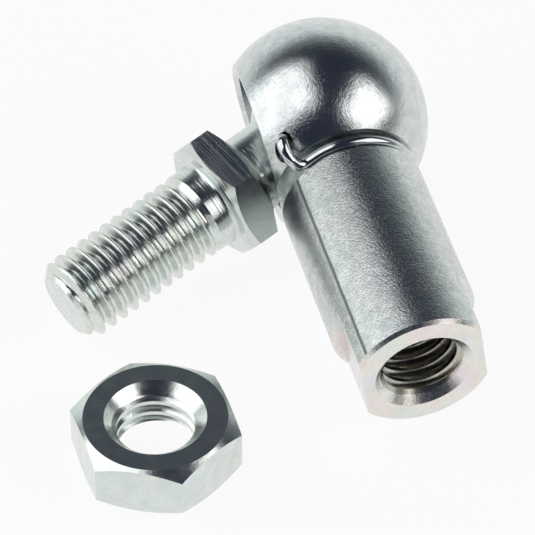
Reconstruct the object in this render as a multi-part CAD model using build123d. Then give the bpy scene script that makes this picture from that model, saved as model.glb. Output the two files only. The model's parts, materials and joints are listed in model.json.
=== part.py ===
"""Angle ball joint, 13 mm ball, M8, with a snap ring, a wire safety clip and a lock nut.

Row frame, in millimetres: the origin is the ball's centre and +Z is up. The joint lies on a
flat floor as it comes to rest, on its round head, the rim of its shank and the stud's tip. The
shank's axis is over +X. Each piece is built in a frame of its own, where its axes are square,
and is then laid down.
"""
from build123d import *
from math import asin, atan2, cos, degrees, hypot, radians, sin, sqrt, tan
import os

# Ball and stud, along the stud from the ball's centre
BALL_R = 6.5
STUD_NECK_R = 3.75
COLLAR_FACE = 13.0                 # the face that a lever is bolted against
COLLAR_ACROSS_FLATS = 11.0
COLLAR_EDGE = 1.95                 # height left on a corner between the two chamfers
COLLAR_WASHER_R = 5.2
STUD_THREAD_R = 4.0                # M8
STUD_REACH = 16.5                  # from the collar's face to the tip
STUD_TIP_CHAMFER = 1.0
STUD_ROOT_FILLET = 0.4
STUD_TURN = 52.0                   # the hexagon's turn about the stud
CHAMFER_SLOPE = 30.0               # hexagon corners, measured from the face

# Safety clip: its wire, and how far it lies off what it touches
CLIP_WIRE_R = 0.55
CLIP_CLEARANCE = 0.04

# Housing: round head, turned neck with the clip's groove, round shank
HEAD_WALL = 3.15                   # from the ball to the outside of the head
HEAD_R = BALL_R + HEAD_WALL
MOUTH_FACE = 6.2                   # flat of the mouth, from the ball's centre
MOUTH_CLEARANCE = 0.1              # lets the ball in
MOUTH_R = BALL_R + MOUTH_CLEARANCE
MOUTH_CHAMFER = 0.4
SEAT_CLEARANCE = 0.05              # between the ball and its seat
SHANK_R = 6.5
SHANK_END = 30.0
SHANK_EDGE = 0.3                   # chamfer round the shank's end
NECK_R = SHANK_R - 2 * CLIP_WIRE_R - CLIP_CLEARANCE
NECK_START = 7.13                  # where the head is cut off square, from the ball's centre
NECK_WIDTH = 2 * CLIP_WIRE_R + 0.85
NECK_EDGE = 0.2
FLATS = 10.8                       # for an 11 mm spanner, less its tolerance
FLATS_LENGTH = 6.0

# Thread bores, drilled at the tapping size
TAP_DRILL_R = 3.4
BORE_DEPTH = 17.0
DRILL_POINT = 118.0
COUNTERSINK_R = 4.4
COUNTERSINK_ANGLE = 90.0

# Snap ring that keeps the ball in its seat
RING_WIRE_R = 0.7
RING_HEIGHT = 2.9                  # from the ball's centre towards the mouth
RING_GAP = 24.0                    # degrees left open
RING_CLEARANCE = 0.05
RING_GROOVE_WIDTH = 1.55

# Route of the safety clip, and the hole across the head that its two ends go into
CLIP_ARM_ANGLE = 27.0              # where each arm leaves the neck, from the top
CLIP_BEND_R = CLIP_WIRE_R + 0.2    # where it turns up out of the groove
CLIP_ARM_LEAD = 1.9 * CLIP_BEND_R  # straight stretch before that turn
CLIP_HOOK_R = CLIP_WIRE_R + 0.1    # where it turns down into the hole
CLIP_OVER = 1.25                   # height of the hook's corner over the head
CLIP_HOLE_R = CLIP_WIRE_R + 0.3
CLIP_BALL_GAP = 0.62               # between the wire in its hole and the ball
CLIP_HOLE_TURN = 37.3              # of the hole about the ball's centre, from the shank
CLIP_NECK_GAP = 0.1                # left between the wire's end and the stud's neck

# Lock nut, taken off, flat on the floor beside the joint
NUT_ACROSS_FLATS = 13.0
NUT_HEIGHT = 5.0
NUT_WASHER_R = 6.2
NUT_PLACE = (27.1, -23.1)
NUT_TURN = 2.1

# The stud lies swung towards the shank, as far as it goes. This is left before its neck
# would touch the mouth's edge, in degrees.
SWING_MARGIN = 1.4


def swing_limit():
    """How far the stud swings to each side before its neck meets the edge of the mouth."""
    deep = (MOUTH_R, MOUTH_FACE - MOUTH_CHAMFER)
    outer = (MOUTH_R + MOUTH_CHAMFER, MOUTH_FACE)
    free = [atan2(r, height) - asin(STUD_NECK_R / hypot(r, height)) for r, height in (deep, outer)]
    return degrees(min(free)) - SWING_MARGIN


SWING_LIMIT = swing_limit()
CLIP_HOLE_REACH = BALL_R + CLIP_BALL_GAP + CLIP_WIRE_R
CLIP_HOLE_X = CLIP_HOLE_REACH * cos(radians(CLIP_HOLE_TURN))
CLIP_HOLE_MOUTH = CLIP_HOLE_REACH * sin(radians(CLIP_HOLE_TURN))


def resting_slope(reach, radius):
    """Slope at which a round arm touches the floor that the head lies on."""
    return degrees(asin(HEAD_R / hypot(reach, radius)) - atan2(radius, reach))


def housing_attitude():
    """Roll about the shank and pitch of the shank, with the end and the stud's tip down."""
    pitch = resting_slope(SHANK_END - SHANK_EDGE, SHANK_R)
    dip = resting_slope(COLLAR_FACE + STUD_REACH - STUD_TIP_CHAMFER, STUD_THREAD_R)
    swing = radians(SWING_LIMIT)
    mouth_dip = (sin(radians(dip)) - sin(swing) * sin(radians(pitch))) / cos(swing)
    roll = degrees(asin(mouth_dip / cos(radians(pitch))))
    return roll, pitch


ROLL, PITCH = housing_attitude()
# Housing frame: +X along the shank, -Y out of the mouth, +Z square to both
HOUSING_FRAME = Rot(0, PITCH, 0) * Rot(ROLL, 0, 0)
# Stud frame: +Z along the stud to its tip
STUD_FRAME = HOUSING_FRAME * Rot(0, 0, SWING_LIMIT) * Rot(90, 0, 0) * Rot(0, 0, STUD_TURN)
# Mouth frame: +Z out of the mouth
MOUTH_FRAME = HOUSING_FRAME * Rot(90, 0, 0)
NUT_FRAME = Pos(NUT_PLACE[0], NUT_PLACE[1], -HEAD_R) * Rot(0, 0, NUT_TURN)


def lathe(*points):
    """Solid turned about Z from points (radius, height)."""
    return revolve(make_face(Plane.XZ * Polyline(*points, close=True)), Axis.Z)


def bore_along_x(depth, mouth):
    """Tapping-size hole from x = mouth inwards, with its drill point and countersink."""
    point = TAP_DRILL_R / tan(radians(DRILL_POINT / 2))
    sink = (COUNTERSINK_R - TAP_DRILL_R) / tan(radians(COUNTERSINK_ANGLE / 2))
    drill = lathe((0, -depth - point), (TAP_DRILL_R, -depth), (TAP_DRILL_R, -sink),
                  (COUNTERSINK_R, 0), (0, 0))
    return Pos(mouth, 0, 0) * Rot(0, 90, 0) * drill


def make_head():
    """Round head, cut flat at the mouth and where the neck starts."""
    keep = Box(3 * HEAD_R, 3 * HEAD_R, 3 * HEAD_R, align=(Align.MAX, Align.MIN, Align.CENTER))
    return Sphere(HEAD_R) & Pos(NECK_START, -MOUTH_FACE, 0) * keep


def make_shank():
    """Neck with the clip's groove, then the shank with its wrench flats."""
    start = NECK_START + NECK_WIDTH
    turned = lathe((0, 0), (NECK_R, 0), (NECK_R, start), (SHANK_R - NECK_EDGE, start),
                   (SHANK_R, start + NECK_EDGE), (SHANK_R, SHANK_END - SHANK_EDGE),
                   (SHANK_R - SHANK_EDGE, SHANK_END), (0, SHANK_END))
    shank = Rot(0, 90, 0) * turned
    for side in (-1, 1):
        block = Box(FLATS_LENGTH, SHANK_R, 3 * SHANK_R, align=(Align.MAX, Align.MIN, Align.CENTER))
        shank -= Pos(SHANK_END, 0, 0) * Rot(90 - 90 * side, 0, 0) * Pos(0, FLATS / 2, 0) * block
    return shank


def make_cavity():
    """Seat, mouth bore and snap-ring groove, with +Z out of the mouth."""
    seat_r = BALL_R + SEAT_CLEARANCE
    groove_r = snap_ring_radius() + RING_WIRE_R + RING_CLEARANCE
    low = RING_HEIGHT - RING_GROOVE_WIDTH / 2
    high = RING_HEIGHT + RING_GROOVE_WIDTH / 2
    bore = lathe((0, 0), (MOUTH_R, 0), (MOUTH_R, low), (groove_r, low), (groove_r, high), (MOUTH_R, high),
                 (MOUTH_R, MOUTH_FACE - MOUTH_CHAMFER), (MOUTH_R + MOUTH_CHAMFER, MOUTH_FACE),
                 (MOUTH_R + MOUTH_CHAMFER, MOUTH_FACE + 1), (0, MOUTH_FACE + 1))
    return Rot(90, 0, 0) * (Sphere(seat_r) + bore)


def make_ball_socket():
    body = make_head() + make_shank() - make_cavity()
    body -= bore_along_x(BORE_DEPTH, SHANK_END)
    body -= Pos(CLIP_HOLE_X, -CLIP_HOLE_MOUTH, 0) * Cylinder(CLIP_HOLE_R, 3 * HEAD_R)
    return HOUSING_FRAME * body


def hexagon_bar(across_flats, height):
    return extrude(RegularPolygon(across_flats / 2, 6, major_radius=False), height)


def make_ball_stud():
    """Ball, neck, hexagon collar and threaded end in one piece, +Z along the stud."""
    slope = tan(radians(CHAMFER_SLOPE))
    corner_r = COLLAR_ACROSS_FLATS / sqrt(3)
    edge_top = COLLAR_FACE - (corner_r - COLLAR_WASHER_R) * slope
    edge_low = edge_top - COLLAR_EDGE
    cone_low = edge_low - (corner_r - STUD_NECK_R) * slope
    tip = COLLAR_FACE + STUD_REACH
    neck = lathe((0, 0), (STUD_NECK_R, 0), (STUD_NECK_R, cone_low), (corner_r, edge_low),
                 (corner_r, edge_top), (COLLAR_WASHER_R, COLLAR_FACE), (0, COLLAR_FACE))
    bar = Pos(0, 0, cone_low) * hexagon_bar(COLLAR_ACROSS_FLATS, COLLAR_FACE - cone_low)
    neck &= bar + Cylinder(STUD_NECK_R, cone_low, align=(Align.CENTER, Align.CENTER, Align.MIN))
    root = STUD_THREAD_R + STUD_ROOT_FILLET
    outline = Polyline((0, COLLAR_FACE), (root, COLLAR_FACE), (root, COLLAR_FACE + STUD_ROOT_FILLET),
                       (STUD_THREAD_R, COLLAR_FACE + STUD_ROOT_FILLET), (STUD_THREAD_R, tip - STUD_TIP_CHAMFER),
                       (STUD_THREAD_R - STUD_TIP_CHAMFER, tip), (0, tip), close=True)
    shaft = revolve(make_face(Plane.XZ * outline), Axis.Z)
    shaft -= Pos(0, 0, COLLAR_FACE + STUD_ROOT_FILLET) * Torus(root, STUD_ROOT_FILLET)
    return STUD_FRAME * (Sphere(BALL_R) + neck + shaft)


def snap_ring_radius():
    """Radius of the ring's wire centre, where the wire lies on the ball."""
    reach = BALL_R + RING_CLEARANCE + RING_WIRE_R
    return sqrt(reach ** 2 - RING_HEIGHT ** 2)


def make_snap_ring():
    section = Plane.XZ * Pos(snap_ring_radius(), RING_HEIGHT) * Circle(RING_WIRE_R)
    ring = revolve(section, Axis.Z, 360 - RING_GAP)
    return MOUTH_FRAME * Rot(0, 0, 90 + RING_GAP / 2) * ring


def clip_end_height():
    """Height at which the wire ends in its hole, clear of the stud's neck at any swing."""
    swing = radians(SWING_LIMIT)
    front = CLIP_HOLE_MOUTH + CLIP_WIRE_R
    neck = (STUD_NECK_R + front * sin(swing)) / cos(swing) + CLIP_NECK_GAP
    return sqrt(max(neck ** 2 - (CLIP_HOLE_X - CLIP_WIRE_R) ** 2, CLIP_WIRE_R ** 2))


def clip_half(side, plane_x, coil_r):
    """Corners of one arm of the clip, from where it leaves the neck to its end in the hole."""
    angle = radians(CLIP_ARM_ANGLE)
    start = Vector(plane_x, -coil_r * sin(angle), coil_r * cos(angle))
    lead = start + Vector(0, -cos(angle), -sin(angle)) * CLIP_ARM_LEAD
    surface = sqrt(HEAD_R ** 2 - CLIP_HOLE_X ** 2 - CLIP_HOLE_MOUTH ** 2)
    hook = Vector(CLIP_HOLE_X, -CLIP_HOLE_MOUTH, surface + CLIP_OVER)
    rim = sqrt(HEAD_R ** 2 - NECK_START ** 2 - lead.Y ** 2)
    rise = Vector(NECK_START + CLIP_WIRE_R + CLIP_CLEARANCE, lead.Y, rim + 2 * CLIP_WIRE_R)
    end = Vector(CLIP_HOLE_X, -CLIP_HOLE_MOUTH, clip_end_height())
    return [Vector(p.X, p.Y, side * p.Z) for p in (start, lead, rise, hook, end)]


def make_safety_clip():
    """Round wire: once round the back of the neck, with both ends hooked into the head."""
    plane_x = NECK_START + NECK_WIDTH / 2
    coil_r = NECK_R + CLIP_WIRE_R + CLIP_CLEARANCE
    top = clip_half(1, plane_x, coil_r)
    bottom = clip_half(-1, plane_x, coil_r)
    radii = [CLIP_BEND_R, CLIP_BEND_R, CLIP_HOOK_R]
    path = Wire(
        FilletPolyline(*reversed(top), radius=radii[::-1]).edges()
        + [ThreePointArc(top[0], (plane_x, coil_r, 0), bottom[0])]
        + FilletPolyline(*bottom, radius=radii).edges()
    )
    section = Plane(origin=path @ 0, z_dir=path % 0) * Circle(CLIP_WIRE_R)
    return HOUSING_FRAME * sweep(section, path)


def make_hex_nut():
    """Plain M8 nut with both faces chamfered and both ends of the thread countersunk."""
    drop = (NUT_ACROSS_FLATS / sqrt(3) - NUT_WASHER_R) * tan(radians(CHAMFER_SLOPE))
    sink = (COUNTERSINK_R - TAP_DRILL_R) / tan(radians(COUNTERSINK_ANGLE / 2))
    corner_r = NUT_ACROSS_FLATS / sqrt(3)
    turned = lathe((TAP_DRILL_R, sink), (COUNTERSINK_R, 0), (NUT_WASHER_R, 0), (corner_r, drop),
                   (corner_r, NUT_HEIGHT - drop), (NUT_WASHER_R, NUT_HEIGHT), (COUNTERSINK_R, NUT_HEIGHT),
                   (TAP_DRILL_R, NUT_HEIGHT - sink))
    return NUT_FRAME * (hexagon_bar(NUT_ACROSS_FLATS, NUT_HEIGHT) & turned)


PIECES = {
    "ball_socket": make_ball_socket,
    "ball_stud": make_ball_stud,
    "snap_ring": make_snap_ring,
    "safety_clip": make_safety_clip,
    "hex_nut": make_hex_nut,
}

os.makedirs("parts", exist_ok=True)
for name, make in PIECES.items():
    piece = make()
    piece.label = name
    export_step(piece, f"parts/{name}.step")
    print(name, "volume %.1f mm3" % piece.volume, "solids", len(piece.solids()))
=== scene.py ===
# %% [markdown]
# # Angle ball joint: the visible model
#
# The real object is a rod end with a round head. The head holds a steel ball, the ball carries a
# threaded stud, and a wire clip keeps the two together. A lock nut lies beside it. Every face is
# bare or zinc-plated metal, and what makes the parts look different is how smooth each face was
# before plating.
#
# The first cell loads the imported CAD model, which fixes every size and place.

# %% Load the frame
import json
from contextlib import contextmanager
from math import cos, hypot, pi, radians, sin

import bpy
from mathutils import Matrix, Vector


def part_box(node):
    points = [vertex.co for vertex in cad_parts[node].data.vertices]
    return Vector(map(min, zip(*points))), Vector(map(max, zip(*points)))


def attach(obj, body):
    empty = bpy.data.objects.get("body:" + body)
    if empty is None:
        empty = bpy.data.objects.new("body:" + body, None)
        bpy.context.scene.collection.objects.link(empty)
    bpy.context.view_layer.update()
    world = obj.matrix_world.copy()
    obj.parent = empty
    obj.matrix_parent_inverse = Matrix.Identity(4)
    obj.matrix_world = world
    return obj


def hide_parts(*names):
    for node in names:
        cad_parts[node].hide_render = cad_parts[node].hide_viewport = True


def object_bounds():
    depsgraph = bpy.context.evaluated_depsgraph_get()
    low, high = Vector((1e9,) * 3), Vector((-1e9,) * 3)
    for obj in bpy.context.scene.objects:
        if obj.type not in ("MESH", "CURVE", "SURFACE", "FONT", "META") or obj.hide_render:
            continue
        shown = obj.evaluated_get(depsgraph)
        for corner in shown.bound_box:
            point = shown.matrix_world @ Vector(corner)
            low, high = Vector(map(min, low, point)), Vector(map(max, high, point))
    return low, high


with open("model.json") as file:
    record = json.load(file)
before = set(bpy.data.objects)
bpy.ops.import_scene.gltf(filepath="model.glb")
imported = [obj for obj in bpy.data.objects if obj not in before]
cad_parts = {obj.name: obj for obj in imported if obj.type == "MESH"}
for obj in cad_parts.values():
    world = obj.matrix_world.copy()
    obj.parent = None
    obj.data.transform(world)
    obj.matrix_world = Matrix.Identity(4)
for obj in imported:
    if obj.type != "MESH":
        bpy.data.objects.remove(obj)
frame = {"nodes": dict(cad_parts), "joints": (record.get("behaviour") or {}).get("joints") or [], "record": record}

cad_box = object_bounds()
MM = 0.001
mounts = {m["name"]: m for m in frame["record"]["mounts"]}
joints = {j["name"]: j for j in frame["joints"]}
print("nodes:", sorted(frame["nodes"]), "mounts:", sorted(mounts))

# %% [markdown]
# Each moving part is easiest to shape in a frame of its own, where its axis is a plain Z or X
# axis. The record gives those axes: the mounts hold the directions of the two threads, and the
# joints hold the axis of the mouth and the axis that the stud swings about. A matrix made from
# them lays a finished mesh down where the CAD says.

# %% Frames of the parts
def frame_of(x, y, z, origin=(0, 0, 0)):
    """Matrix whose columns are the three axes of a part, with its place."""
    turn = Matrix((x, y, z)).transposed().to_4x4()
    return Matrix.Translation(origin) @ turn


shank_axis = Vector(mounts["rod_thread"]["axis"]).normalized()
mouth_axis = Vector(joints["stud_swivel"]["axis"]).normalized()
swing_axis = Vector(joints["stud_swing"]["axis"]).normalized()
stud_axis = Vector(mounts["stud_thread"]["axis"]).normalized()

# Housing frame: +X along the shank, -Y out of the mouth. Stud frame: +Z along the stud.
housing_frame = frame_of(shank_axis, -mouth_axis, shank_axis.cross(-mouth_axis))
stud_frame = frame_of(swing_axis, stud_axis.cross(swing_axis), stud_axis)
nut_low, nut_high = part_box("hex_nut")
nut_frame = Matrix.Translation(((nut_low.x + nut_high.x) / 2, (nut_low.y + nut_high.y) / 2, nut_low.z))
print("shank along", shank_axis, "stud along", stud_axis)

# %% [markdown]
# The same mounts give the lengths that the threads need. Each is a place along the shank's axis or
# along the stud's, measured from the centre of the ball, where both axes start.

# %% Lengths along the axes
def along(mount, axis):
    """How far a mount lies along an axis."""
    return Vector(mounts[mount]["pos_m"]).dot(axis)


TIP_CHAMFER = 1.0 * MM      # the stud's mount stops where this chamfer starts
shank_end = along("jam_face", shank_axis)
bore_depth = shank_end - along("rod_thread", shank_axis) + mounts["rod_thread"]["dims"]["length_mm"] * MM
collar_face = along("collar_face", stud_axis)
stud_tip = along("stud_thread", stud_axis) + TIP_CHAMFER
nut_height = nut_high.z - nut_low.z
floor_z = cad_box[0][2]
print("shank end %.4f, bore %.4f deep, collar %.4f, tip %.4f, nut %.4f high" % (
    shank_end, bore_depth, collar_face, stud_tip, nut_height))

# %% [markdown]
# The camera looks down on the joint from the stud's side. It stands about seven times the joint's
# own length away, with a long lens, so that the lines of the shank stay nearly parallel. Its place
# is worked out from a target on the floor, an azimuth and an elevation.

# %% Camera
AZIMUTH, ELEVATION, DISTANCE = radians(73.54), radians(43.5), 0.300
LENS, SENSOR_WIDTH = 221.6, 36.0
target = Vector((0.00710, -0.00727, floor_z))
to_camera = Vector((sin(AZIMUTH) * cos(ELEVATION), -cos(AZIMUTH) * cos(ELEVATION), sin(ELEVATION)))
camera_right = Vector((cos(AZIMUTH), sin(AZIMUTH), 0))
camera_up = to_camera.cross(camera_right)

camera_data = bpy.data.cameras.new("camera")
camera_data.sensor_width, camera_data.lens = SENSOR_WIDTH, LENS
camera_data.clip_start, camera_data.clip_end = 0.01, 20.0
camera = bpy.data.objects.new("camera", camera_data)
camera.location = target + to_camera * DISTANCE
camera.rotation_euler = (-to_camera).to_track_quat("-Z", "Y").to_euler()
bpy.context.scene.collection.objects.link(camera)
bpy.context.scene.camera = camera
print("camera at", [round(v, 4) for v in camera.location])

# %% [markdown]
# The world and every material are trees of nodes. Two small helpers keep them short to write: one
# adds a node and gives its inputs their values, and the other sets the stops of a colour ramp.

# %% Helpers for node trees
def add_node(tree, kind, place=(0, 0), **settings):
    """Adds a node, sets its properties, and gives its inputs their values by name."""
    node = tree.nodes.new(kind)
    node.location = place
    for key, value in settings.items():
        if hasattr(node, key):
            setattr(node, key, value)
        else:
            node.inputs[key.replace("_", " ")].default_value = value
    return node


def ramp_stops(node, *stops):
    """Sets the stops (place, colour) of a colour ramp."""
    elements = node.color_ramp.elements
    while len(elements) < len(stops):
        elements.new(0.5)
    for element, (place, colour) in zip(elements, stops):
        element.position = place
        element.color = (*colour, 1)
    return node


# %% [markdown]
# Bare metal has almost no colour of its own, and shows what stands round it. A studio puts it on a
# white floor before a white wall, with two soft boxes, and leaves the rest of the room dark, so
# that the metal gets both bright faces and dark bands. The world does the same here: white low
# down behind the object, and dark above it and behind the camera. An even white world would be
# simpler, but metal looks flat in it. The camera itself sees plain white everywhere.

# %% World
WALL_TILT = 0.50        # how much higher the white reaches behind the object than in front of it
ROOM = ((0.39, (0.90, 0.95, 0.94)), (0.54, (0.40, 0.44, 0.44)), (0.71, (0.15, 0.165, 0.175)),
        (0.86, (0.062, 0.072, 0.088)), (1.0, (0.026, 0.032, 0.052)))

world = bpy.data.worlds.new("studio")
bpy.context.scene.world = world
world.use_nodes = True
sky = world.node_tree
sky.nodes.clear()
direction = add_node(sky, "ShaderNodeTexCoord", (-1200, 0))
away = Vector((-sin(AZIMUTH), cos(AZIMUTH), 0))
slope = add_node(sky, "ShaderNodeVectorMath", (-1000, 0), operation="DOT_PRODUCT")
slope.inputs[1].default_value = Vector((0, 0, 1)) - WALL_TILT * away
sky.links.new(direction.outputs["Object"], slope.inputs[0])
shift = add_node(sky, "ShaderNodeMath", (-800, 0), operation="MULTIPLY_ADD")
shift.inputs[1].default_value, shift.inputs[2].default_value = 1.0, 0.5
sky.links.new(slope.outputs["Value"], shift.inputs[0])
room = ramp_stops(add_node(sky, "ShaderNodeValToRGB", (-600, 0)), *ROOM)
sky.links.new(shift.outputs[0], room.inputs[0])
seen = add_node(sky, "ShaderNodeLightPath", (-600, 300))
white = add_node(sky, "ShaderNodeMixRGB", (-200, 100))
white.inputs[2].default_value = (1, 1, 1, 1)
sky.links.new(seen.outputs["Is Camera Ray"], white.inputs[0])
sky.links.new(room.outputs[0], white.inputs[1])
background = add_node(sky, "ShaderNodeBackground", (0, 100))
sky.links.new(white.outputs[0], background.inputs[0])
sky_out = add_node(sky, "ShaderNodeOutputWorld", (200, 100))
sky.links.new(background.outputs[0], sky_out.inputs[0])
bpy.context.scene.view_settings.view_transform = "Standard"
print("world of", len(sky.nodes), "nodes")

# %% [markdown]
# The soft boxes are area lamps. One large box stands at the left, and a smaller one is held up at
# the right. They are far larger than the joint, which is what makes the edges of their reflections
# soft. Their power goes with their size, so that brightness means the same thing for both.

# %% Soft boxes
BOX_DISTANCE = 0.42


def soft_box(name, place, size, brightness, colour=(1, 1, 1)):
    """Area lamp in a direction given as (right, up, toward the camera), facing the object."""
    right, up, toward = place
    heading = (camera_right * right + camera_up * up + to_camera * toward).normalized()
    width, height = size
    lamp = bpy.data.lights.new(name, "AREA")
    lamp.shape, lamp.size, lamp.size_y = "RECTANGLE", width, height
    lamp.energy = brightness * pi * width * height
    lamp.color = colour
    box = bpy.data.objects.new(name, lamp)
    box.location = target + heading * BOX_DISTANCE
    box.rotation_euler = (-heading).to_track_quat("-Z", "Y").to_euler()
    bpy.context.scene.collection.objects.link(box)
    return box


left_box = soft_box("left_box", (-0.75, 0.38, 0.54), (0.46, 0.64), 1.5)
right_box = soft_box("right_box", (0.74, 0.27, 0.61), (0.34, 0.30), 1.9, (1.0, 0.985, 0.97))
print("soft boxes:", [round(v, 3) for v in left_box.location], [round(v, 3) for v in right_box.location])

# %% [markdown]
# The floor is one large disc, a hair below the faces that the joint lies on. It is part of the
# stage and not of the object.

# %% Floor
FLOOR_RADIUS = 1.5
FLOOR_DROP = 0.02 * MM      # keeps the floor just clear of the faces that lie on it

bpy.ops.object.select_all(action="DESELECT")
bpy.ops.mesh.primitive_circle_add(
    vertices=96, radius=FLOOR_RADIUS, fill_type="NGON", location=(0, 0, floor_z - FLOOR_DROP))
floor = bpy.context.object
floor.name = "floor"
bpy.ops.object.transform_apply(location=True, rotation=True, scale=True)
print("floor at", round(floor_z, 5))

# %% [markdown]
# It is made of pale paper. Seen directly or in the metal, most of it is plain white, and the rest
# still takes light as paper does, so that the joint keeps a faint shadow to stand on. A paper that
# was only lit would look grey. The Light Path node tells the rays apart: to all the others, which
# carry light from place to place, it is ordinary paper.

# %% Paper of the floor
GLOW_SHARE = 0.92
PAPER = (0.93, 0.93, 0.93, 1)

paper = bpy.data.materials.new("floor_paper")
paper.use_nodes = True
tree = paper.node_tree
tree.nodes.clear()
matt = add_node(tree, "ShaderNodeBsdfDiffuse", (0, 0), Color=PAPER)
glow = add_node(tree, "ShaderNodeEmission", (0, -150), Color=(1, 1, 1, 1), Strength=1.0)
path = add_node(tree, "ShaderNodeLightPath", (-600, 200))
seen_or_mirrored = add_node(tree, "ShaderNodeMath", (-400, 200), operation="MAXIMUM")
tree.links.new(path.outputs["Is Camera Ray"], seen_or_mirrored.inputs[0])
tree.links.new(path.outputs["Is Glossy Ray"], seen_or_mirrored.inputs[1])
seen_at_all = add_node(tree, "ShaderNodeMath", (-200, 200), operation="MAXIMUM")
tree.links.new(seen_or_mirrored.outputs[0], seen_at_all.inputs[0])
tree.links.new(path.outputs["Is Transmission Ray"], seen_at_all.inputs[1])
share = add_node(tree, "ShaderNodeMath", (0, 200), operation="MULTIPLY")
share.inputs[1].default_value = GLOW_SHARE
tree.links.new(seen_at_all.outputs[0], share.inputs[0])
paper_mix = add_node(tree, "ShaderNodeMixShader", (200, 0))
tree.links.new(share.outputs[0], paper_mix.inputs[0])
tree.links.new(matt.outputs[0], paper_mix.inputs[1])
tree.links.new(glow.outputs[0], paper_mix.inputs[2])
paper_out = add_node(tree, "ShaderNodeOutputMaterial", (400, 0))
tree.links.new(paper_mix.outputs[0], paper_out.inputs[0])
floor.data.materials.append(paper)
print("paper of", len(tree.nodes), "nodes")

# %% [markdown]
# An operator works on whatever is selected, so each piece is picked by itself before it is shaped.
# Bisect joins points that lie nearer to its plane than a threshold. Its default is a tenth of a
# millimetre at this scale, which would spoil a thread, so every cut is given a far smaller one.

# %% Helpers for shaping
CLEAN_CUT = 0.0001 * MM


def pick(piece):
    """Leaves only this object selected, and makes it the active one."""
    bpy.ops.object.select_all(action="DESELECT")
    piece.select_set(True)
    bpy.context.view_layer.objects.active = piece


@contextmanager
def editing(piece):
    """Edit mode on one piece, with its whole mesh selected at the start."""
    pick(piece)
    bpy.ops.object.mode_set(mode="EDIT")
    bpy.ops.mesh.select_all(action="SELECT")
    yield
    bpy.ops.object.mode_set(mode="OBJECT")


def cut(place, normal, **cleared):
    """In edit mode, cuts the whole mesh with a plane, clears one side and closes the cut."""
    bpy.ops.mesh.select_all(action="SELECT")
    bpy.ops.mesh.bisect(plane_co=place, plane_no=normal, use_fill=True, threshold=CLEAN_CUT, **cleared)


def apply_modifier(piece, kind, name, **settings):
    """Adds a modifier with these settings and applies it."""
    pick(piece)
    modifier = piece.modifiers.new(name, kind)
    for key, value in settings.items():
        setattr(modifier, key, value)
    bpy.ops.object.modifier_apply(modifier=name)


def lay_down(piece, place):
    """Moves a mesh shaped at the origin to its place, and leaves the object at the origin."""
    pick(piece)
    piece.matrix_world = place
    bpy.ops.object.transform_apply(location=True, rotation=True, scale=True)


def count(piece):
    """How many triangles the piece has."""
    piece.data.calc_loop_triangles()
    return len(piece.data.loop_triangles)


# %% [markdown]
# A CAD mesh comes as loose triangles, and it is never changed itself. To cut into it, a copy is
# made, its doubled points are merged, and its stored normals are thrown away, so that the cuts get
# shading of their own.

# %% Copies of the CAD meshes
DOUBLED = 0.0015 * MM       # corners of CAD triangles nearer than this are one point


def merged_copy(node, name):
    """New object with a CAD node's mesh, its doubles merged."""
    piece = bpy.data.objects.new(name, frame["nodes"][node].data.copy())
    bpy.context.scene.collection.objects.link(piece)
    piece.data.name = name
    piece.data.materials.clear()
    pick(piece)
    bpy.ops.mesh.customdata_custom_splitnormals_clear()
    with editing(piece):
        bpy.ops.mesh.remove_doubles(threshold=DOUBLED)
    return piece


# %% [markdown]
# A screw thread is one V-shaped profile carried round and along an axis. Three ways would do: a
# bump pattern, a pile of rings, or the Screw modifier. A pattern has a straight outline and rings
# have no pitch, so the modifier is used. Each profile below is one pitch of a standard metric
# thread, with the crest and the root a little rounded.

# %% Thread profiles
PITCH = 1.25 * MM


def thread_profile(crest, root, crest_flat, root_flat, rounding):
    """Points (radius, height) of one pitch, from the middle of a crest to the next one."""
    half = PITCH / 2
    slope = (half - root_flat / 2) - crest_flat / 2
    side = [
        (crest, 0), (crest, crest_flat / 2 - rounding / 2),
        (crest - rounding / 2, crest_flat / 2 + rounding / 4),
        (crest - (crest - root) * 0.5, crest_flat / 2 + slope * 0.5),
        (root + rounding / 2, half - root_flat / 2 - rounding / 4),
        (root, half - root_flat / 2 + rounding / 2), (root, half),
    ]
    return side + [(r, PITCH - z) for r, z in reversed(side[:-1])]


EXTERNAL = thread_profile(
    crest=3.985 * MM, root=3.26 * MM, crest_flat=0.17 * MM, root_flat=0.30 * MM, rounding=0.08 * MM)
INTERNAL = thread_profile(
    crest=4.0 * MM, root=3.37 * MM, crest_flat=0.16 * MM, root_flat=0.36 * MM, rounding=0.05 * MM)
print("points in a profile:", len(EXTERNAL))

# %% [markdown]
# The profile starts as one edge of a plane: the other edge is deleted, the one that stays is cut
# into short lengths, and its points are moved to the profile. The Screw modifier then makes more
# turns than are needed, and two cuts square the rod off and close its ends. A rod that is closed
# all round can be shown as it is, or be taken away from another solid.

# %% Threaded rods
TURN_DOUBLED = 0.002 * MM       # where one turn of the profile meets the next


def profile_edge(name, profile, lowest):
    """Row of points along a thread's profile, from the lowest height up."""
    bpy.ops.object.select_all(action="DESELECT")
    bpy.ops.mesh.primitive_plane_add(size=PITCH, location=(0, 0, 0))
    piece = bpy.context.object
    piece.name = piece.data.name = name
    bpy.ops.object.mode_set(mode="EDIT")
    bpy.ops.mesh.select_all(action="DESELECT")
    bpy.ops.object.mode_set(mode="OBJECT")
    for vertex in piece.data.vertices:
        vertex.select = vertex.co.x < 0
    bpy.ops.object.mode_set(mode="EDIT")
    bpy.ops.mesh.delete(type="VERT")
    bpy.ops.mesh.select_all(action="SELECT")
    bpy.ops.mesh.subdivide(number_cuts=len(profile) - 2)
    bpy.ops.object.mode_set(mode="OBJECT")
    in_order = sorted(piece.data.vertices, key=lambda v: v.co.y)
    for vertex, (radius, height) in zip(in_order, profile):
        vertex.co = (radius, 0, height + lowest)
    return piece


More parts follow.
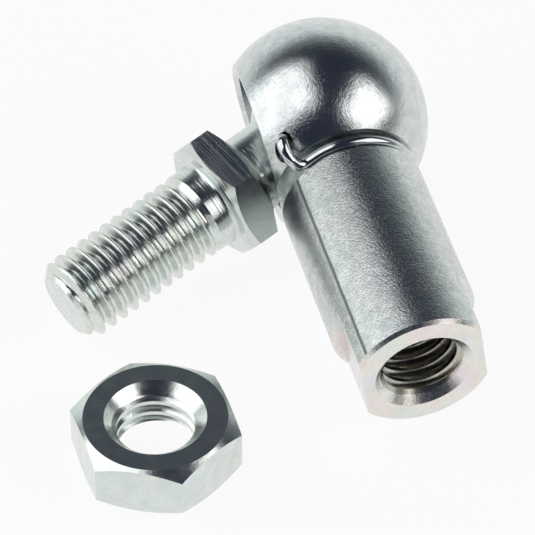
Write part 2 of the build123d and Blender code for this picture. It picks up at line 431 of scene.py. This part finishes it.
def thread_rod(name, profile, start, end, steps):
    """Closed threaded rod along +Z from start to end, cut square at both ends."""
    piece = profile_edge(name, profile, start - 2 * PITCH)
    turns = int((end - start) / PITCH) + 4
    apply_modifier(piece, "SCREW", "turns", axis="Z", angle=2 * pi, screw_offset=PITCH, iterations=turns,
                   steps=steps, render_steps=steps, use_merge_vertices=False, use_smooth_shade=True)
    with editing(piece):
        bpy.ops.mesh.remove_doubles(threshold=TURN_DOUBLED)
        cut((0, 0, start), (0, 0, 1), clear_inner=True)
        cut((0, 0, end), (0, 0, 1), clear_outer=True)
        bpy.ops.mesh.select_all(action="SELECT")
        bpy.ops.mesh.normals_make_consistent(inside=False)
    print(name, len(piece.data.vertices), "points,", count(piece), "triangles")
    return piece


# %% [markdown]
# The stud's thread is rolled. It starts a little way from the collar, where it rises out of a
# plain stretch, and it is cut back by the chamfer at the tip. Both are made by holding each
# point's radius between two limits: the run-out lifts the root up to the plain stretch, and the
# chamfer's cone takes off the crests.

# %% Stud thread
STUD_R = 4.0 * MM
TIP_R = 2.95 * MM               # of the flat at the tip
PLAIN_END = collar_face + 1.75 * MM
RUN_OUT_START = 0.1 * MM
RUN_OUT_SLOPE = 0.75
END_FACE_R = 1.0 * MM           # points nearer to the axis than this aren't part of the thread

stud_thread = thread_rod("stud_thread", EXTERNAL, PLAIN_END, stud_tip, steps=72)
for vertex in stud_thread.data.vertices:
    x, y, z = vertex.co
    radius = hypot(x, y)
    if radius < END_FACE_R:
        continue
    run_out = STUD_R - max(0.0, z - PLAIN_END - RUN_OUT_START) * RUN_OUT_SLOPE
    chamfer = TIP_R + (stud_tip - z)
    held = min(max(radius, run_out), chamfer)
    vertex.co.x, vertex.co.y = x * held / radius, y * held / radius
lay_down(stud_thread, stud_frame)
print("thread from", round(PLAIN_END, 5), "to", round(stud_tip, 5), "along the stud")

# %% [markdown]
# The rest of the stud is the CAD solid: ball, neck and hexagon collar. Its plain shank is cut off
# just past the start of the thread. The two meshes overlap by that little, so that no gap can show
# between them.

# %% Stud body
OVERLAP = 0.05 * MM
ball_stud = merged_copy("ball_stud", "stud_body")
with editing(ball_stud):
    cut(stud_axis * (PLAIN_END + OVERLAP), stud_axis, clear_outer=True)
print("stud body", count(ball_stud), "triangles")

# %% [markdown]
# The threads inside the shank and inside the nut are cut like a tap cuts them: a threaded rod a
# little longer than the hole is taken away from a copy of the CAD solid by a Boolean modifier. The
# hole's own wall is left as the flat crests of the thread. A Boolean leaves a few points and
# slivers that are almost nothing, and they are cleared, because a printed or measured mesh has to
# be closed.

# %% Tapping
CUT_DOUBLED = 0.0006 * MM
CUT_SLIVER = 0.0002 * MM


def tap(piece, cutter):
    """Takes the threaded rod away from the piece."""
    apply_modifier(piece, "BOOLEAN", "tap", operation="DIFFERENCE", object=cutter, solver="EXACT")
    bpy.data.objects.remove(cutter, do_unlink=True)
    with editing(piece):
        bpy.ops.mesh.remove_doubles(threshold=CUT_DOUBLED)
        bpy.ops.mesh.dissolve_degenerate(threshold=CUT_SLIVER)
    print(piece.name, "tapped:", count(piece), "triangles")


# %% [markdown]
# Two taps are needed. The nut's runs out at both of its faces. The bore in the shank is blind, so
# its tap runs out at the shank's end and stops short of the drill's point. A rod is made along Z,
# so the one for the bore is turned onto the shank's axis before it cuts.

# %% Bore and nut threads
TAP_OVERRUN = 0.5 * MM          # past each open end
TAP_SHORTFALL = 1.0 * MM        # left before the drill's point

housing = merged_copy("ball_socket", "housing_body")
bore_tap = thread_rod(
    "bore_tap", INTERNAL, shank_end - bore_depth + TAP_SHORTFALL, shank_end + TAP_OVERRUN, steps=48)
lay_down(bore_tap, housing_frame @ frame_of((0, 1, 0), (0, 0, 1), (1, 0, 0)))
tap(housing, bore_tap)

lock_nut = merged_copy("hex_nut", "lock_nut")
nut_tap = thread_rod("nut_tap", INTERNAL, -TAP_OVERRUN, nut_height + TAP_OVERRUN, steps=64)
lay_down(nut_tap, nut_frame)
tap(lock_nut, nut_tap)

# %% [markdown]
# The safety clip is one length of spring wire. It goes round the back of the neck in its groove,
# and each end lifts over the edge of the head and hooks down into the hole. Bent wire has no sharp
# corners, so a smooth curve is drawn through a few points and given the wire's thickness. The curve
# runs a little inside its points, so those on the round part stand out by the same amount. The
# points are in millimetres in the housing's frame, and the second hook mirrors the first.

# %% Safety clip
WIRE_R, GROOVE_X, COIL_R = 0.55, 8.105, 6.04
HOOK = [(6.10, -4.65, 3.55), (6.10, -4.65, 5.4), (6.10, -4.66, 7.1), (7.0, -4.9, 7.3),
        (8.0, -4.85, 6.6), (8.45, -4.3, 5.55), (8.35, -3.4, 5.1)]
around = [(GROOVE_X, -COIL_R * sin(radians(a)), COIL_R * cos(radians(a))) for a in range(20, -201, -20)]
route = HOOK + around + [(x, y, -z) for x, y, z in reversed(HOOK)]

wire_line = bpy.data.curves.new("safety_clip_wire", "CURVE")
wire_line.dimensions = "3D"
spline = wire_line.splines.new("NURBS")
spline.points.add(len(route) - 1)
for point, place in zip(spline.points, route):
    point.co = (*(housing_frame @ (Vector(place) * MM)), 1)
spline.order_u, spline.use_endpoint_u = 4, True
wire_line.resolution_u, wire_line.bevel_depth, wire_line.bevel_resolution = 10, WIRE_R * MM, 6
wire_line.use_fill_caps = True
clip_wire = bpy.data.objects.new("safety_clip_wire", wire_line)
bpy.context.scene.collection.objects.link(clip_wire)
pick(clip_wire)
bpy.ops.object.convert(target="MESH")
clip_wire = bpy.context.object
print("clip wire", count(clip_wire), "triangles")

# %% [markdown]
# A turned face should look round and a milled edge sharp. Smooth shading by angle gives both: two
# faces that meet at less than the angle are shaded as one surface, and the rest keep their edge.

# %% Shading of the shaped pieces
SMOOTH_BELOW = radians(28)
shaped = (ball_stud, housing, lock_nut, stud_thread, clip_wire)
for piece in shaped:
    pick(piece)
    bpy.ops.object.shade_smooth_by_angle(angle=SMOOTH_BELOW)
print("shaded:", [piece.name for piece in shaped])

# %% [markdown]
# Plating follows whatever lies under it. The mottle of a pickled and plated surface is two
# patterns: patches about a millimetre wide, where the surface is a little duller or darker, and
# fine specks. A node group makes both as masks, so that each material can use them at its own
# strength, and adds a much finer grain for the surface itself.

# %% Plating pattern
PER_METRE = 1000.0      # the sizes are in millimetres, and a noise counts its scale per metre
GRAIN_SCALE = 9000.0


def new_group(name, inputs, outputs):
    """Node group with these sockets, and the nodes where its inputs and outputs arrive."""
    group = bpy.data.node_groups.new(name, "ShaderNodeTree")
    for label, kind, value in inputs:
        socket = group.interface.new_socket(name=label, in_out="INPUT", socket_type=kind)
        if value is not None:
            socket.default_value = value
    for label, kind in outputs:
        group.interface.new_socket(name=label, in_out="OUTPUT", socket_type=kind)
    return group, group.nodes.new("NodeGroupInput"), group.nodes.new("NodeGroupOutput")


plating, plating_in, plating_out = new_group(
    "plating_mottle",
    [("Vector", "NodeSocketVector", None), ("Patch Size", "NodeSocketFloat", 1.0),
     ("Speck Size", "NodeSocketFloat", 0.2)],
    [("Patches", "NodeSocketFloat"), ("Specks", "NodeSocketFloat"), ("Grain", "NodeSocketFloat")])
for label, key, low, high, detail in (("Patches", "Patch Size", 0.36, 0.66, 4.0),
                                      ("Specks", "Speck Size", 0.30, 0.70, 3.0)):
    scale = add_node(plating, "ShaderNodeMath", operation="DIVIDE")
    scale.inputs[0].default_value = PER_METRE
    plating.links.new(plating_in.outputs[key], scale.inputs[1])
    noise = add_node(plating, "ShaderNodeTexNoise", Detail=detail, Roughness=0.62)
    plating.links.new(plating_in.outputs["Vector"], noise.inputs["Vector"])
    plating.links.new(scale.outputs[0], noise.inputs["Scale"])
    spread = add_node(plating, "ShaderNodeMapRange")
    spread.inputs["From Min"].default_value, spread.inputs["From Max"].default_value = low, high
    plating.links.new(noise.outputs["Fac"], spread.inputs["Value"])
    plating.links.new(spread.outputs["Result"], plating_out.inputs[label])
grain = add_node(plating, "ShaderNodeTexNoise", Scale=GRAIN_SCALE, Detail=2.0)
plating.links.new(plating_in.outputs["Vector"], grain.inputs["Vector"])
plating.links.new(grain.outputs["Fac"], plating_out.inputs["Grain"])
print("plating pattern of", len(plating.nodes), "nodes")

# %% [markdown]
# Faces that were turned or milled before plating are so flat that the thin clear film over the zinc
# shows its colours, as oil on water does. They drift from pink to straw to pale green over a few
# millimetres. A second group makes that colour from one slow noise.

# %% Passivation tint
DRIFT_SCALE = 230.0
HUES = ((0.34, (0.90, 0.76, 0.82)), (0.46, (0.93, 0.86, 0.74)),
        (0.56, (0.78, 0.87, 0.82)), (0.68, (0.80, 0.78, 0.88)))

tint, tint_in, tint_out = new_group(
    "passivation_tint",
    [("Vector", "NodeSocketVector", None), ("Base", "NodeSocketColor", (0.8, 0.82, 0.81, 1)),
     ("Amount", "NodeSocketFloat", 0.5)],
    [("Color", "NodeSocketColor")])
drift = add_node(tint, "ShaderNodeTexNoise", Scale=DRIFT_SCALE, Detail=2.0)
tint.links.new(tint_in.outputs["Vector"], drift.inputs["Vector"])
hues = ramp_stops(add_node(tint, "ShaderNodeValToRGB"), *HUES)
tint.links.new(drift.outputs["Fac"], hues.inputs[0])
blend = add_node(tint, "ShaderNodeMixRGB")
tint.links.new(tint_in.outputs["Amount"], blend.inputs[0])
tint.links.new(tint_in.outputs["Base"], blend.inputs[1])
tint.links.new(hues.outputs[0], blend.inputs[2])
tint.links.new(blend.outputs[0], tint_out.inputs["Color"])
print("tint of", len(tint.nodes), "nodes")

# %% [markdown]
# All the metals are one recipe with different numbers: the mottle mixes a bright and a dull
# colour, moves the roughness, and lifts the surface by a few hundredths of a millimetre at most.

# %% Recipe for a metal
def plated_metal(name, bright, dull, roughness, patch, speck, relief, speck_share, film):
    """Plated steel: a metal whose colour, roughness and surface follow the mottle."""
    material = bpy.data.materials.new(name)
    material.use_nodes = True
    tree = material.node_tree
    shader = tree.nodes["Principled BSDF"]
    shader.inputs["Metallic"].default_value = 1.0
    where = add_node(tree, "ShaderNodeTexCoord", (-1200, 0), name="where")
    mottle = add_node(tree, "ShaderNodeGroup", (-1000, 0), node_tree=plating)
    mottle.inputs["Patch Size"].default_value = patch
    mottle.inputs["Speck Size"].default_value = speck
    tree.links.new(where.outputs["Object"], mottle.inputs["Vector"])
    both = add_node(tree, "ShaderNodeMix", (-800, 0))
    both.inputs[0].default_value = speck_share
    tree.links.new(mottle.outputs["Patches"], both.inputs[2])
    tree.links.new(mottle.outputs["Specks"], both.inputs[3])
    colour = add_node(tree, "ShaderNodeMixRGB", (-500, 200))
    colour.inputs[1].default_value, colour.inputs[2].default_value = (*bright, 1), (*dull, 1)
    tree.links.new(both.outputs[0], colour.inputs[0])
    coloured = add_node(tree, "ShaderNodeGroup", (-250, 200), node_tree=tint)
    coloured.inputs["Amount"].default_value = film
    tree.links.new(where.outputs["Object"], coloured.inputs["Vector"])
    tree.links.new(colour.outputs[0], coloured.inputs["Base"])
    tree.links.new(coloured.outputs["Color"], shader.inputs["Base Color"])
    dullness = add_node(tree, "ShaderNodeMapRange", (-500, 0))
    dullness.inputs["To Min"].default_value, dullness.inputs["To Max"].default_value = roughness
    tree.links.new(both.outputs[0], dullness.inputs["Value"])
    tree.links.new(dullness.outputs["Result"], shader.inputs["Roughness"])
    height = add_node(tree, "ShaderNodeMix", (-500, -250))
    height.inputs[0].default_value = 0.5
    tree.links.new(both.outputs[0], height.inputs[2])
    tree.links.new(mottle.outputs["Grain"], height.inputs[3])
    surface = add_node(tree, "ShaderNodeBump", (-250, -250), name="surface", Strength=1.0, Distance=relief)
    tree.links.new(height.outputs[0], surface.inputs["Height"])
    tree.links.new(surface.outputs["Normal"], shader.inputs["Normal"])
    return material


# %% [markdown]
# A lathe's tool leaves fine rings round a turned piece, one beside the next along its axis. A
# noise that reads only the place along that axis makes them, and its bump goes under the mottle's.

# %% Rings left by a lathe
RING_SCALE = 5200.0
RING_DEPTH = 0.016 * MM


def lathe_rings(material, axis):
    """Adds turned rings about an axis under the mottle of a metal."""
    tree = material.node_tree
    station = add_node(tree, "ShaderNodeVectorMath", (-1000, -450), operation="DOT_PRODUCT")
    station.inputs[1].default_value = axis
    tree.links.new(tree.nodes["where"].outputs["Object"], station.inputs[0])
    lines = add_node(tree, "ShaderNodeTexNoise", (-800, -450), noise_dimensions="1D",
                     Scale=RING_SCALE, Detail=3.0)
    tree.links.new(station.outputs["Value"], lines.inputs["W"])
    rings = add_node(tree, "ShaderNodeBump", (-500, -450), Strength=1.0, Distance=RING_DEPTH)
    tree.links.new(lines.outputs["Fac"], rings.inputs["Height"])
    tree.links.new(rings.outputs["Normal"], tree.nodes["surface"].inputs["Normal"])


# %% [markdown]
# Eight finishes come from the recipe. The head is the smoothest, and the shank is duller and more
# mottled. Turned and rolled faces are even. The end and the flats show the most film colour. The
# bore is darker and warmer, since plating hardly reaches into a deep hole. The clip's wire and the
# ring's are bright drawn steel.

# %% Metals
zinc_polished = plated_metal(
    "zinc_polished_head", bright=(0.70, 0.73, 0.72), dull=(0.48, 0.52, 0.53), roughness=(0.10, 0.24),
    patch=1.6, speck=0.28, relief=0.030 * MM, speck_share=0.45, film=0.08)
zinc_satin = plated_metal(
    "zinc_satin_shank", bright=(0.72, 0.75, 0.73), dull=(0.40, 0.44, 0.44), roughness=(0.14, 0.30),
    patch=1.1, speck=0.20, relief=0.040 * MM, speck_share=0.6, film=0.06)
zinc_turned = plated_metal(
    "zinc_turned_faces", bright=(0.71, 0.77, 0.75), dull=(0.58, 0.63, 0.61), roughness=(0.14, 0.26),
    patch=1.5, speck=0.3, relief=0.010 * MM, speck_share=0.4, film=0.15)
zinc_rolled = plated_metal(
    "zinc_rolled_thread", bright=(0.72, 0.77, 0.74), dull=(0.54, 0.58, 0.56), roughness=(0.14, 0.28),
    patch=1.0, speck=0.25, relief=0.016 * MM, speck_share=0.5, film=0.20)
zinc_lathe = plated_metal(
    "zinc_turned_stud", bright=(0.68, 0.73, 0.71), dull=(0.54, 0.58, 0.57), roughness=(0.12, 0.24),
    patch=1.5, speck=0.3, relief=0.010 * MM, speck_share=0.4, film=0.12)
lathe_rings(zinc_lathe, stud_axis)
zinc_milled = plated_metal(
    "zinc_milled_faces", bright=(0.74, 0.74, 0.71), dull=(0.62, 0.60, 0.58), roughness=(0.20, 0.34),
    patch=1.2, speck=0.3, relief=0.014 * MM, speck_share=0.4, film=0.42)
bore_steel = plated_metal(
    "bore_steel", bright=(0.46, 0.43, 0.37), dull=(0.28, 0.26, 0.23), roughness=(0.16, 0.30),
    patch=1.0, speck=0.3, relief=0.006 * MM, speck_share=0.4, film=0.25)
wire_bright = plated_metal(
    "wire_bright", bright=(0.66, 0.68, 0.69), dull=(0.46, 0.48, 0.49), roughness=(0.08, 0.16),
    patch=1.0, speck=0.3, relief=0.004 * MM, speck_share=0.4, film=0.0)
print("metals:", [m.name for m in bpy.data.materials if m.name.startswith(("zinc", "bore", "wire"))])

# %% [markdown]
# The shank shows a fine dark line along one side, the shade of an edge that the mesh doesn't
# have. That shade is painted into the material as a dark line: the distance from a plane through
# the shank's axis gives a narrow mask. A little slow noise makes the line wander, and a test of
# which side of the axis a point is on keeps it to one side.

# %% Where the painted shade line on the shank is
# Painted shade: a dark line standing in for the shade along an edge of the shank that the mesh lacks.
EDGE_SHADE_WANDER = 0.22 * MM
EDGE_SHADE_CORE, EDGE_SHADE_END = 0.08 * MM, 0.24 * MM     # half widths where it is darkest, and where it ends

edge_shade_out = (-housing_frame.col[1].to_3d() + housing_frame.col[2].to_3d()).normalized()
edge_shade_side = shank_axis.cross(edge_shade_out)
tree = zinc_satin.node_tree
where = tree.nodes["where"]
across = add_node(tree, "ShaderNodeVectorMath", (-1000, 500), operation="DOT_PRODUCT")
across.inputs[1].default_value = edge_shade_side
outward = add_node(tree, "ShaderNodeVectorMath", (-1000, 650), operation="DOT_PRODUCT")
outward.inputs[1].default_value = edge_shade_out
tree.links.new(where.outputs["Object"], across.inputs[0])
tree.links.new(where.outputs["Object"], outward.inputs[0])
wander = add_node(tree, "ShaderNodeTexNoise", (-1000, 350), Scale=400.0, Detail=3.0)
tree.links.new(where.outputs["Object"], wander.inputs["Vector"])
wandered = add_node(tree, "ShaderNodeMath", (-820, 500), operation="MULTIPLY_ADD")
wandered.inputs[1].default_value = EDGE_SHADE_WANDER
tree.links.new(wander.outputs["Fac"], wandered.inputs[0])
tree.links.new(across.outputs["Value"], wandered.inputs[2])
centred = add_node(tree, "ShaderNodeMath", (-820, 650), operation="SUBTRACT")
centred.inputs[1].default_value = EDGE_SHADE_WANDER / 2
tree.links.new(wandered.outputs[0], centred.inputs[0])
width = add_node(tree, "ShaderNodeMath", (-640, 500), operation="ABSOLUTE")
tree.links.new(centred.outputs[0], width.inputs[0])
edge_shade_band = add_node(tree, "ShaderNodeMapRange", (-460, 500), interpolation_type="SMOOTHSTEP")
edge_shade_band.inputs["From Min"].default_value, edge_shade_band.inputs["From Max"].default_value = EDGE_SHADE_CORE, EDGE_SHADE_END
edge_shade_band.inputs["To Min"].default_value, edge_shade_band.inputs["To Max"].default_value = 1.0, 0.0
tree.links.new(width.outputs[0], edge_shade_band.inputs["Value"])
one_side = add_node(tree, "ShaderNodeMath", (-640, 650), operation="GREATER_THAN")
one_side.inputs[1].default_value = 0.0
tree.links.new(outward.outputs["Value"], one_side.inputs[0])
# Mask of the painted shade line, on one side of the shank only.
painted_edge_shade = add_node(tree, "ShaderNodeMath", (-280, 500), operation="MULTIPLY")
tree.links.new(edge_shade_band.outputs["Result"], painted_edge_shade.inputs[0])
tree.links.new(one_side.outputs[0], painted_edge_shade.inputs[1])
print("seam faces", [round(v, 3) for v in edge_shade_out])

# %% [markdown]
# Where the mask is one, the metal's colour gives way to the darker colour of the painted shade. The
# node that does it goes between the recipe's colour and the shader, so the recipe itself stays the
# same for every metal.

# %% Colour of the painted shade line
# Colour of the painted shade along the shank's edge.
EDGE_SHADE_COLOUR = (0.17, 0.19, 0.19, 1)

shader = tree.nodes["Principled BSDF"]
darkened = add_node(tree, "ShaderNodeMixRGB", (-60, 400))
darkened.inputs[2].default_value = EDGE_SHADE_COLOUR
tree.links.new(painted_edge_shade.outputs[0], darkened.inputs[0])
tree.links.new(shader.inputs["Base Color"].links[0].from_socket, darkened.inputs[1])
tree.links.new(darkened.outputs[0], shader.inputs["Base Color"])
print("shank's metal of", len(tree.nodes), "nodes")

# %% [markdown]
# The stud, its thread, the nut and the clip have one finish each, and the housing has four. The
# snap ring is the CAD mesh itself, so its finish goes into the slot of its object, and the mesh
# stays as it came.

# %% Giving the pieces their finishes
for piece, materials in ((housing, (zinc_satin, zinc_polished, zinc_milled, bore_steel)),
                         (ball_stud, (zinc_lathe,)), (stud_thread, (zinc_rolled,)),
                         (lock_nut, (zinc_turned,)), (clip_wire, (wire_bright,))):
    for material in materials:
        piece.data.materials.append(material)
snap_ring = frame["nodes"]["snap_ring"]
snap_ring.material_slots[0].link = "OBJECT"
snap_ring.material_slots[0].material = wire_bright
print("finishes of the housing:", [m.name for m in housing.data.materials])

# %% [markdown]
# The housing's faces can be told apart by where they are and which way they face: the bore by its
# distance from the shank's axis, the end and the flats by their direction, and the head by its
# place. That is easiest to ask in the housing's own frame.

# %% Finishes of the housing's faces
SHANK_FROM, HEAD_TO = 10 * MM, 9.0 * MM     # along the shank's axis
BORE_R, COUNTERSINK_R = 4.02 * MM, 4.6 * MM
COUNTERSINK_DEPTH = 0.6 * MM
FLATS_LENGTH = 6.1 * MM
SATIN, POLISHED, MILLED, BORE = range(4)       # places of the finishes on the housing


def finish_at(centre, normal):
    """Which of the housing's four finishes a face has, in the housing's frame."""
    from_axis = hypot(centre.y, centre.z)
    on_shank = centre.x > SHANK_FROM
    if on_shank and from_axis < BORE_R and centre.x < shank_end - COUNTERSINK_DEPTH:
        return BORE
    on_end = centre.x > shank_end - FLATS_LENGTH and (normal.x > 0.5 or abs(normal.y) > 0.999)
    if on_end or on_shank and from_axis < COUNTERSINK_R:
        return MILLED
    return POLISHED if centre.x < HEAD_TO else SATIN


to_housing = housing_frame.inverted()
faces_of = [0] * 4
for face in housing.data.polygons:
    face.material_index = finish_at(to_housing @ face.center, to_housing.to_3x3() @ face.normal)
    faces_of[face.material_index] += 1
print("faces of the housing: satin %d, polished %d, milled %d, bore %d" % tuple(faces_of))

# %% [markdown]
# Each new piece rides on the body that it belongs to, so that it moves when the joint moves, and
# stands for the CAD node that it was shaped from. The thread and the stud's body are one real part
# and stand for the same node. The nut lies loose beside the joint, in the housing's body.

# %% Riding and replacing
for piece, body, node in ((housing, "housing", "ball_socket"), (lock_nut, "housing", "hex_nut"),
                          (ball_stud, "stud", "ball_stud"), (stud_thread, "stud", "ball_stud")):
    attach(piece, body)
    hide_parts(node)
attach(clip_wire, "housing")
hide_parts("safety_clip")
print("triangles in all:", sum(count(piece) for piece in shaped) + count(snap_ring))
